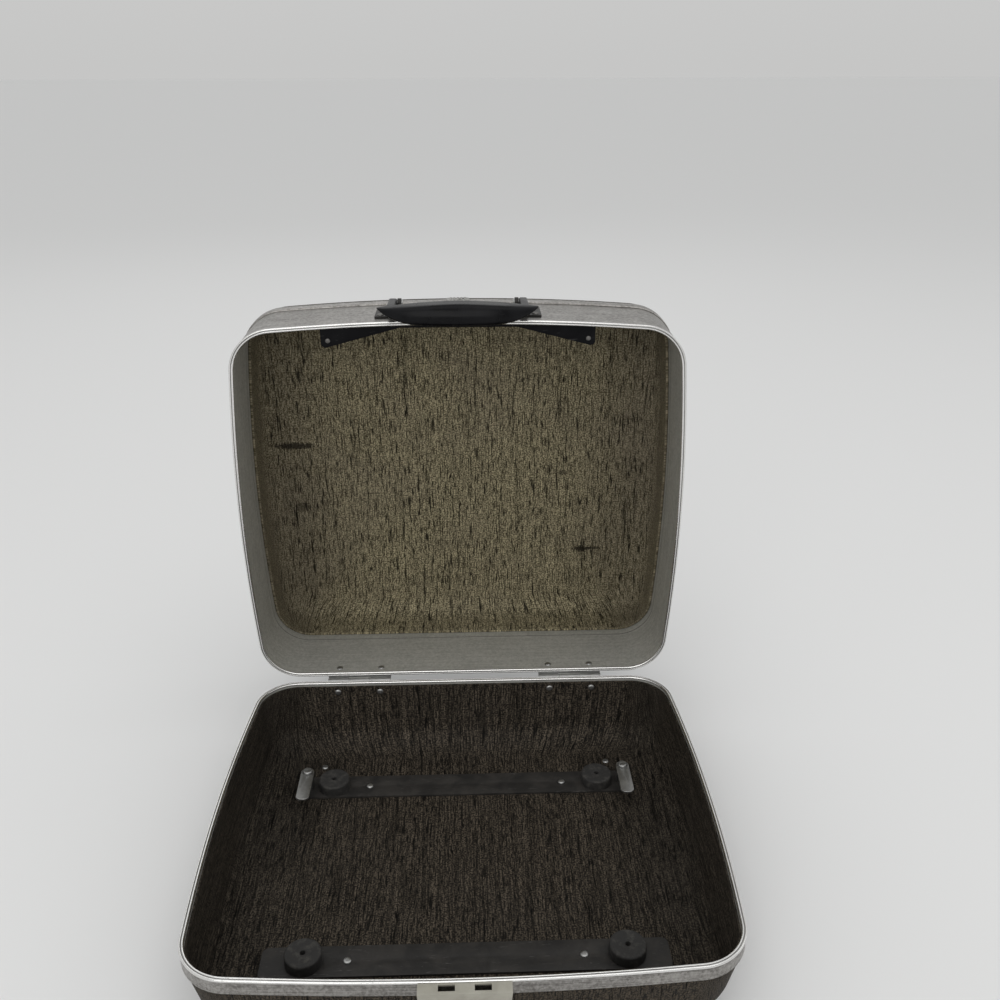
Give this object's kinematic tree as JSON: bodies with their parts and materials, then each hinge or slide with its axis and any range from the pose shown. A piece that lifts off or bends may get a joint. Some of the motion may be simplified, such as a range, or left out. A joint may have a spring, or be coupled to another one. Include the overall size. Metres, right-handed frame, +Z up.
{
  "type": "typewriter case",
  "caption": "Hard typewriter case with a hinged lid, metal-banded edges, a folding handle and a sliding latch.",
  "frame": {"origin": "middle of the open case's footprint, on the table under its feet", "axes": "+Z up, +Y from the front of the base towards the hinges, +X to the right seen from the front"},
  "size_m": [0.3756, 0.449, 0.4118],
  "materials": {
    "tray_plastic": "dark brown, streaked grain",
    "shell_plastic": "olive brown grain inside, dark brown outside",
    "rim_aluminium": "aged satin",
    "band_aluminium": "aged satin",
    "striker_paint": "off-white paint",
    "black_paint": "gloss black",
    "handle_plastic": "gloss black",
    "zinc_steel": "zinc plated",
    "black_rubber": "matt",
    "satin_steel": "satin, a little stained",
    "blackened_steel": "dark, dulled"
  },
  "bodies": {
    "base": {"base_tray": "tray_plastic", "base_rim": "rim_aluminium", "striker_bracket": "striker_paint", "striker_rivets": "zinc_steel", "front_rail": "black_paint", "back_rail": "black_paint", "rail_rivets": "zinc_steel", "seat_front_left": "black_rubber", "seat_front_right": "black_rubber", "seat_back_left": "black_rubber", "seat_back_right": "black_rubber", "foot_front_left": "black_rubber", "foot_front_right": "black_rubber", "foot_back_left": "black_rubber", "foot_back_right": "black_rubber", "foot_rivets": "zinc_steel", "clip_posts": "zinc_steel", "clip_screws": "zinc_steel", "hinge_base_leaf_left": "zinc_steel", "hinge_base_leaf_right": "zinc_steel", "hinge_pin_left": "zinc_steel", "hinge_pin_right": "zinc_steel", "hinge_base_rivets": "zinc_steel"},
    "lid": {"lid_band": "band_aluminium", "lid_shell": "shell_plastic", "backing_plate": "black_paint", "backing_rivets": "blackened_steel", "latch_plate": "zinc_steel", "latch_cover": "satin_steel", "latch_rivets": "zinc_steel", "handle_bracket_left": "black_paint", "handle_bracket_right": "black_paint", "handle_pin_left": "zinc_steel", "handle_pin_right": "zinc_steel", "bracket_rivets": "blackened_steel", "hinge_lid_leaf_left": "zinc_steel", "hinge_lid_leaf_right": "zinc_steel", "hinge_lid_rivets": "zinc_steel"},
    "handle": {"handle": "handle_plastic"},
    "latch": {"latch_bar": "zinc_steel", "latch_thumb": "satin_steel"},
    "clip_left": {"hold_down_clip_left": "zinc_steel"},
    "clip_right": {"hold_down_clip_right": "zinc_steel"}
  },
  "joints": [
    {"name": "lid_hinge", "type": "hinge", "parent": "base", "child": "lid", "pos_m": [0, 0.11315, 0.065], "axis": [1, 0, 0], "range_deg": [0, 90]},
    {"name": "handle_swing", "type": "hinge", "parent": "lid", "child": "handle", "pos_m": [0, 0.14945, 0.3994], "axis": [-1, 0, 0], "range_deg": [0, 100]},
    {"name": "latch_slide", "type": "slide", "parent": "lid", "child": "latch", "axis": [1, 0, 0], "range_m": [0, 0.0036]},
    {"name": "clip_left_turn", "type": "hinge", "parent": "base", "child": "clip_left", "pos_m": [-0.134, 0.03745, 0.0234], "axis": [0, 0, 1], "range_deg": [0, 90]},
    {"name": "clip_right_turn", "type": "hinge", "parent": "base", "child": "clip_right", "pos_m": [0.134, 0.03745, 0.0234], "axis": [0, 0, -1], "range_deg": [0, 90]}
  ]
}
